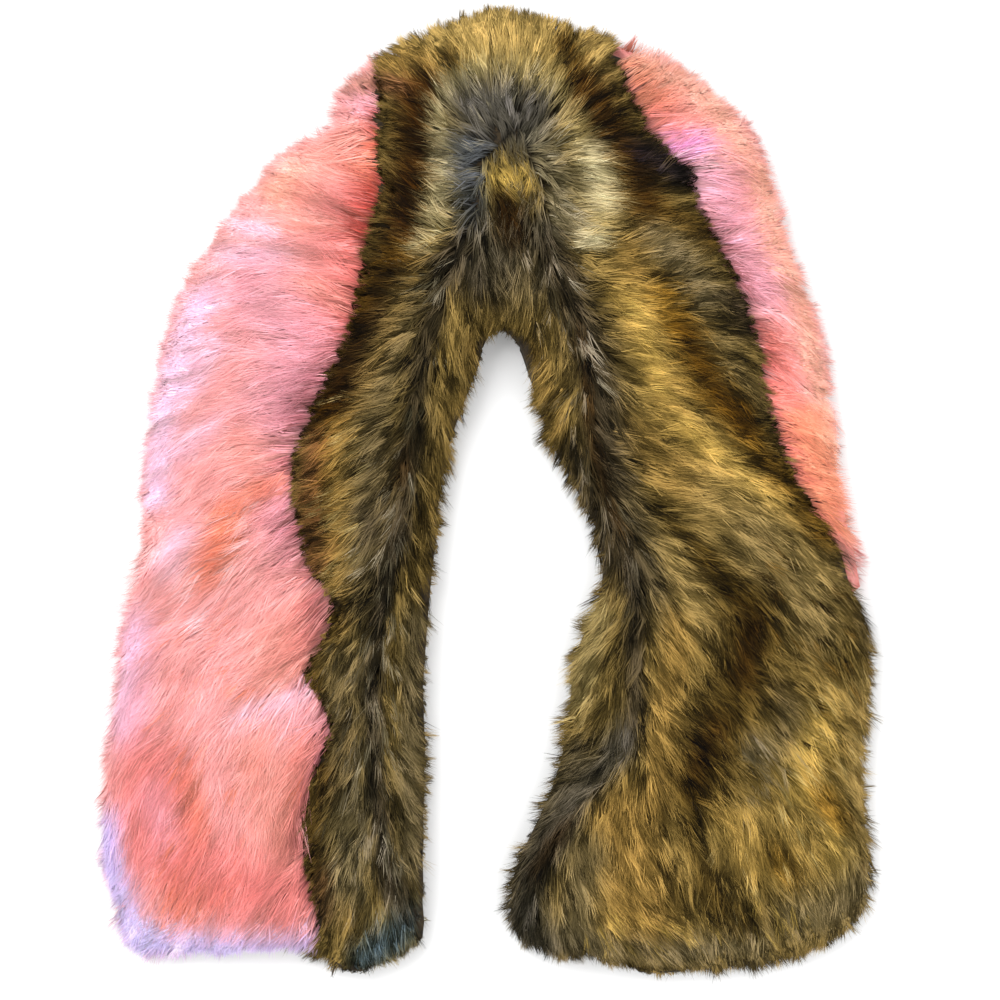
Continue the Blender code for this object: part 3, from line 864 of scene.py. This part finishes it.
def grow(strip, plan, fields, rng):
    """A strip's hairs: each a ribbon of two faces that narrows to a point."""
    tufts, hairs = strip.tufts, HAIRS_A_TUFT
    centres, normals = scatter(strip.backing, tufts, rng)
    on_top = smooth_step(normals[:, 2], *ON_TOP_UPS)[:, None]
    under = smooth_step(-normals[:, 2], *BELOW_UPS)[:, None]

    comb_places = centres[:, :2] + rng.normal(0, PARTING_BLUR, (tufts, 2))
    comb = unit(plan.nearest(fields["comb"], comb_places))
    out_way = plan.read(fields["out_way"], centres[:, :2])
    sideways = unit(RIM_COMB * comb + RIM_OUT * out_way) * (1 - under) + comb * under
    ways = unit(comb * on_top + sideways * (1 - on_top))
    ways = turned(ways, swirl(centres[:, :2]) + rng.normal(0, TUFT_TURNS, tufts))

    # Roots spread over a round patch of the cloth
    flat_ways = np.column_stack((ways, np.zeros(tufts)))
    lengthwise = unit(flat_ways - (flat_ways * normals).sum(axis=1, keepdims=True) * normals)
    crosswise = np.cross(normals, lengthwise)
    radius = TUFT_RADIUS * np.sqrt(rng.random((tufts, hairs, 1)))
    angle = 2 * pi * rng.random((tufts, hairs, 1))
    offsets = radius * (np.cos(angle) * lengthwise[:, None] + np.sin(angle) * crosswise[:, None])
    roots = centres[:, None] + offsets
    roots -= (flat_ways * plan.read(strip.tuck, centres[:, :2])[:, None])[:, None]

    # How far each one reaches in plan, held back at the wrap's edge
    lengths = strip.length * np.exp(rng.normal(0, TUFT_LENGTHS, (tufts, 1)))
    lengths = lengths * np.exp(rng.normal(0, HAIR_LENGTHS, (tufts, hairs)))
    reach = lengths * (RIM_REACH + TOP_REACH * on_top)
    reach *= 1 - WHORL.change * fall_off(centres[:, :2], WHORL)[:, None]
    fuzz = EDGE_FUZZ * (np.abs(rng.normal(0, 1, (tufts, 1))) - EDGE_INSIDE)
    fuzz = fuzz + STREAK_FUZZ * plan.read(fields["streaks"], centres[:, :2])[:, None]
    fuzz = fuzz + rng.normal(0, 1, (tufts, hairs))
    hair_ways = turned(ways[:, None], rng.normal(0, HAIR_TURNS, (tufts, hairs)))
    for _ in range(3):
        tips = roots[..., :2] + hair_ways * reach[..., None]
        past = np.maximum(plan.read(strip.out, tips) - fuzz, 0.0)
        reach = np.maximum(reach - past, SHORTEST)

    # The line of each hair
    curls = rng.normal(0, TUFT_CURLS, (tufts, 1)) + rng.normal(0, HAIR_CURLS, (tufts, hairs))
    bends = curls[..., None] * STEPS**2
    line = turned(hair_ways[:, :, None], bends) * (reach[..., None] * RUN)[..., None]
    drawn = (CLUMPING * STEPS**1.5)[:, None]
    places = roots[:, :, None, :2] + line - drawn * offsets[:, :, None, :2]
    lift = rng.normal(SAG, 1, (tufts, 1)) * strip.looseness
    lift = lift + rng.normal(0, HAIR_LOOSE, (tufts, hairs)) * strip.looseness
    fur_top = plan.read(fields["heights"], places) + lift[..., None] * STEPS
    start = roots[..., 2:3]
    top_line = start + (fur_top - start) * RISE
    low_end = np.minimum(start, rng.uniform(*RIM_TIPS, (tufts, hairs, 1)))
    side_line = start + (low_end - start) * STEPS
    mix = on_top[:, None]
    heights = top_line * mix + side_line * (1 - mix)
    heights = np.maximum(heights, LOWEST + LOWEST_MIX * rng.random((tufts, hairs, 1)))
    points = np.concatenate((places, heights[..., None]), axis=-1)

    # Its two sides
    runs = unit(np.gradient(points, axis=2))
    sides = unit(np.cross(runs, normals[:, None, None]))
    roll = rng.normal(0, HAIR_ROLLS, (tufts, hairs, 1, 1))
    sides = sides * np.cos(roll) + np.cross(sides, runs) * np.sin(roll)
    widths = HAIR_WIDTH * np.exp(rng.normal(0, WIDTHS, (tufts, hairs, 1))) * TAPER / 2
    half = sides[:, :, :2] * widths[..., None]
    body = np.stack((points[:, :, :2] - half, points[:, :, :2] + half), axis=3)
    ribbon = np.concatenate((body.reshape(tufts, hairs, 4, 3), points[:, :, 2:]), axis=2)
    ribbon[..., 2] = np.maximum(ribbon[..., 2], LOWEST / 2)
    faces = np.cross(sides, runs)
    faces *= np.sign((faces * normals[:, None, None]).sum(axis=-1, keepdims=True) + 1e-9)
    shading = unit(faces + strip.smoothness * normals[:, None, None])
    shading = two_sided(shading)

    # Its colours, streaked along the comb
    slip = rng.normal(AHEAD, AHEAD_SPREAD, (tufts, hairs, 1, 1)) * hair_ways[:, :, None]
    slip = slip + rng.normal(0, COLOUR_SPREAD, (tufts, hairs, 1, 2))
    seen = places.copy()
    seen[:, :, 1] += 0.3 * (places[:, :, 2] - places[:, :, 1])
    tints = plan.read(strip.colours, seen + slip)
    middles = centres[:, :2] + ways * strip.length * 0.6
    locks, picked = lock_colours(middles, strip.locks, rng)
    picked = picked[:, None, None, None] * LOCK_COVER * rng.random((tufts, hairs, 1, 1)) ** 0.5
    tints = tints * (1 - picked) + locks[:, None, None] * picked
    tuft_shade, hair_shade, streak_shade = strip.contrast
    shade = rng.normal(0, tuft_shade, (tufts, 1)) + rng.normal(0, hair_shade, (tufts, hairs))
    shade = shade[..., None] + streak_shade * plan.read(fields["streaks"], places + slip)
    shade *= 1 - CALM.change * fall_off(places, CALM, power=4)
    varied = np.clip(EVEN_LEVEL / tints.mean(axis=-1), LEAST_VARIED, MOST_VARIED)
    shade = np.minimum(shade, MOST_SHADE) * varied
    tints = tints * np.exp(shade[..., None] * SHADE_TINT)
    tints = two_sided(np.clip(tints / 255.0, 0.0, 1.0))

    count = tufts * hairs
    ribbon, shading, tints = (item.reshape(count, CORNERS, 3) for item in (ribbon, shading, tints))
    along = np.broadcast_to(ALONG, (count, CORNERS))
    chances = np.broadcast_to(rng.random((count, 1)), (count, CORNERS))
    return Hairs(ribbon, shading, tints, along, chances, np.repeat(centres[:, :2], hairs, axis=0))


def new_object(name, data):
    made = bpy.data.objects.new(name, data)
    bpy.context.collection.objects.link(made)
    return made


def hair_piece(name, hairs, chosen, material):
    """One mesh of a region's hairs, with a small cell of the baking map for each."""
    count = int(chosen.sum())
    mesh = bpy.data.meshes.new(name)
    mesh.vertices.add(count * CORNERS)
    mesh.vertices.foreach_set("co", (hairs.points[chosen] * MM).ravel())
    hair = np.arange(count)[:, None]
    loops = (np.array(HAIR_LOOPS) + CORNERS * hair).ravel()
    mesh.loops.add(len(loops))
    mesh.loops.foreach_set("vertex_index", loops)
    mesh.polygons.add(count * 2)
    starts = np.array(FACE_STARTS) + len(HAIR_LOOPS) * hair
    mesh.polygons.foreach_set("loop_start", starts.ravel())
    mesh.update(calc_edges=True)
    mesh.polygons.foreach_set("use_smooth", np.ones(count * 2, bool))
    for attribute, kind, key, values in (
        ("custom_normal", "FLOAT_VECTOR", "vector", hairs.normals[chosen]),
        ("tint", "FLOAT_COLOR", "color", np.insert(hairs.tints[chosen], 3, 1.0, axis=-1)),
        ("along", "FLOAT", "value", hairs.along[chosen]),
        ("chance", "FLOAT", "value", hairs.chances[chosen]),
    ):
        layer = mesh.attributes.new(attribute, kind, "POINT")
        layer.data.foreach_set(key, values.ravel().astype(np.float32))

    side = int(np.ceil(np.sqrt(count)))
    cells = np.column_stack((np.arange(count) % side, np.arange(count) // side))
    inside = np.column_stack((ACROSS, 0.1 + 0.8 * np.array(ALONG)))
    corners = (cells[:, None] + inside) / side
    uv = mesh.uv_layers.new(name="OFBake")
    uv.data.foreach_set("uv", corners.reshape(-1, 2)[loops].ravel())
    mesh.materials.append(material)
    mesh.validate()
    return new_object(name, mesh)


# ---- materials ----


class Look:
    """A material, to which nodes are added one by one."""

    def __init__(self, name):
        self.material = bpy.data.materials.new(name)
        self.material.use_nodes = True
        self.tree = self.material.node_tree

    def feed(self, node, inputs):
        """Gives each of a node's inputs a value, or what comes out of another node."""
        for socket, value in inputs.items():
            if isinstance(value, bpy.types.NodeSocket):
                self.tree.links.new(value, node.inputs[socket])
            else:
                node.inputs[socket].default_value = value

    def add(self, kind, output, inputs, **settings):
        node = self.tree.nodes.new("ShaderNode" + kind)
        for setting, value in settings.items():
            setattr(node, setting, value)
        self.feed(node, inputs)
        return node.outputs[output]

    def ramp(self, factor, *stops):
        """Colours that follow a factor: each stop is a place on it and a colour."""
        output = self.add("ValToRGB", "Color", {"Fac": factor})
        elements = output.node.color_ramp.elements
        for place, _ in stops[1:-1]:
            elements.new(place)
        for element, (place, colour) in zip(elements, stops):
            element.position = place
            element.color = (*colour, 1)
        return output

    def surface(self, **inputs):
        """Feeds the shader; an input's name has _ for each space."""
        shader = self.tree.nodes["Principled BSDF"]
        self.feed(shader, {name.replace("_", " "): value for name, value in inputs.items()})
        return self.material


def hair_material(name, roots, middles, roughness, sheen):
    """Darker at the root than at the tip, by these shares, with uneven bands along each hair."""
    look = Look(name)
    tint = look.add("Attribute", "Color", {}, attribute_name="tint")
    along = look.add("Attribute", "Fac", {}, attribute_name="along")
    chance = look.add("Attribute", "Fac", {}, attribute_name="chance")
    # The darker roots are painted shade deep in the pile; the brown hair's are partly its own dark
    # roots too
    shades = ((0.0, roots), (0.4, middles), (0.9, 1.0))
    lengthwise = look.ramp(along, *((place, [shade] * 3) for place, shade in shades))
    as_light = look.add("Gamma", "Color", {"Color": tint, "Gamma": 2.2})
    layers = {"Fac": 1.0, "Color1": as_light, "Color2": lengthwise}
    shaded = look.add("MixRGB", "Color", layers, blend_type="MULTIPLY")

    place = look.add("CombineXYZ", "Vector", {"X": along, "Y": chance})
    scales = (2.5, 900.0, 1.0)  # bands along a hair, and another row of them for each hair
    spread = look.add("VectorMath", "Vector", {0: place, 1: scales}, operation="MULTIPLY")
    bands = look.add("TexNoise", "Fac", {"Scale": 1.0, "Vector": spread})
    shares = {"From Min": 0.3, "From Max": 0.7, "To Min": 0.82, "To Max": 1.18, "Value": bands}
    strength = look.add("MapRange", "Result", shares)
    banded = look.add("VectorMath", "Vector", {0: shaded, "Scale": strength}, operation="SCALE")
    return look.surface(
        Base_Color=banded, Roughness=roughness, Specular_IOR_Level=0.06,
        Sheen_Weight=sheen, Sheen_Roughness=0.45,
    )


def backing_material(name, dark, light):
    """A knitted cloth, mottled by the roots of its pile."""
    look = Look(name)
    place = look.add("TexCoord", "Object", {})
    mottle = look.add("TexNoise", "Fac", {"Scale": 260.0, "Detail": 4.0, "Vector": place})
    colour = look.ramp(mottle, (0.35, linear(dark)), (0.65, linear(light)))
    bump = look.add("Bump", "Normal", {"Strength": 0.6, "Distance": MM, "Height": mottle})
    return look.surface(Base_Color=colour, Normal=bump, Roughness=0.9)


def backing_piece(name, backing, material):
    mesh = bpy.data.meshes.new(name)
    mesh.from_pydata((backing.points * MM).tolist(), [], backing.triangles.tolist())
    mesh.shade_smooth()
    mesh.materials.append(material)
    return new_object(name, mesh)


# ---- the studio ----


def make_studio():
    bpy.ops.mesh.primitive_plane_add(size=FLOOR_SIZE, location=(0, 0, -FLOOR_DROP))
    floor = bpy.context.object
    floor.name = "floor"
    grey = (FLOOR_GREY, FLOOR_GREY, FLOOR_GREY, 1)
    floor.data.materials.append(Look("pale_floor").surface(Base_Color=grey, Roughness=0.9))

    world = bpy.data.worlds.new("studio")
    world.use_nodes = True
    light = world.node_tree.nodes["Background"].inputs
    light["Color"].default_value = (1.0, 1.0, 1.0, 1)
    light["Strength"].default_value = 1.0
    bpy.context.scene.world = world

    for lamp in LAMPS:
        light = bpy.data.lights.new(lamp.name, "AREA")
        light.size = lamp.size
        light.energy = lamp.power
        shining = new_object(lamp.name, light)
        shining.location = lamp.place
        shining.rotation_euler = (-Vector(lamp.place)).to_track_quat("-Z", "Y").to_euler()
        shining.visible_camera = False

    camera = bpy.data.cameras.new("camera")
    camera.lens = LENS
    camera.sensor_width = SENSOR
    camera.clip_end = 20.0
    viewer = new_object("camera", camera)
    viewer.location = Vector(CAMERA_PLACE) * MM
    bpy.context.scene.camera = viewer
    bpy.context.scene.view_settings.view_transform = "Standard"


# ---- the wrap ----


def build_wrap():
    rng = np.random.default_rng(SEED)
    plan = Plan(*cad_box)
    brown_tops = top_heights(plan, tree_of(*welded("brown_fur_strip")))
    pink_tops = top_heights(plan, tree_of(*welded("pink_fur_strip")))
    brown_out = distance_out(plan, brown_tops > pink_tops)
    pink_out = distance_out(plan, pink_tops > brown_tops)
    heights = np.maximum(brown_tops, pink_tops)
    out = distance_out(plan, heights > 0)
    heights = np.where(heights > 0, heights, np.maximum(EDGE_HEIGHT - EDGE_DROOP * out, LOWEST))
    comb = combed(plan)
    fields = {
        "heights": blurred(heights, HEIGHT_BLUR),
        "out": out,
        "out_way": unit(np.stack(np.gradient(blurred(out, OUT_BLUR)), axis=-1)),
        "comb": comb,
        "streaks": streaked(plan, comb, rng),
    }
    brown_backing = make_backing("brown_fur_strip", "pink_fur_strip", brown_out, plan, fields)
    pink_backing = make_backing("pink_fur_strip", "brown_fur_strip", pink_out, plan, fields)

    brown_share = tuft_weights(brown_backing).sum()
    brown_share /= brown_share + tuft_weights(pink_backing).sum()
    brown_tufts = round(TUFTS * brown_share)

    # At the seams, the roots are moved so that no cloth shows where the brown fur is held back
    inside = smooth_step(-out, *EDGE_FREE)
    brown_further = further(plan, BROWN_EDGES) - SEAM_SETBACK * inside
    held_back = np.clip(-brown_further, 0, None)
    brown_near = np.exp(-((brown_out / (BROWN_TUCK_REACH + 0.5 * held_back)) ** 2))
    brown_tuck = held_back * brown_near * inside
    pink_near = np.exp(-((brown_out / (PINK_TUCK_REACH + held_back)) ** 2))
    pink_tuck = (SEAM_TUCK + held_back) * inside * pink_near
    # The brown hair beside the seam is darkened: painted shade in the seam's valley
    seam_painted_shade = smooth_step(brown_out + held_back, *SEAM_BAND) * inside
    brown_colours = painted(plan, OLIVE, BROWN_STROKES) * (1 - SEAM_PAINTED_SHADE * seam_painted_shade)[..., None]
    strips = (
        Strip(
            "brown", BROWN_CUT, brown_backing, brown_tufts, BROWN_LENGTH, brown_out - brown_further,
            brown_tuck, brown_colours, BROWN_LOCKS,
            contrast=(0.34, 0.12, 0.24), smoothness=0.6, looseness=1.8,
            hair_look=hair_material("brown_hair", roots=0.3, middles=0.8, roughness=0.65, sheen=0.0),
            cloth_look=backing_material("brown_cloth", dark=(34, 26, 14), light=(66, 52, 30)),
        ),
        Strip(
            "pink", PINK_CUT, pink_backing, TUFTS - brown_tufts, PINK_LENGTH,
            np.minimum(pink_out - further(plan, PINK_EDGES), out + HIDDEN_EDGE),
            pink_tuck, painted(plan, CORAL, PINK_STROKES), PINK_LOCKS,
            contrast=(0.1, 0.08, 0.17), smoothness=4.0, looseness=1.0,
            hair_look=hair_material("pink_hair", roots=0.72, middles=0.96, roughness=0.6, sheen=0.2),
            cloth_look=backing_material("pink_cloth", dark=(226, 132, 126), light=(244, 164, 156)),
        ),
    )
    for strip in strips:
        cloth = backing_piece(f"{strip.name}_cloth", strip.backing, strip.cloth_look)
        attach(cloth, "root")
        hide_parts(f"{strip.name}_fur_strip")
        hairs = grow(strip, plan, fields, rng)
        x, y = hairs.places.T
        for name, (x_from, x_to, y_from, y_to) in REGIONS[strip.name].items():
            chosen = (x >= x_from) & (x < x_to) & (y > y_from) & (y <= y_to)
            pile = hair_piece(name, hairs, chosen, strip.hair_look)
            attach(pile, "root")


build_wrap()
make_studio()
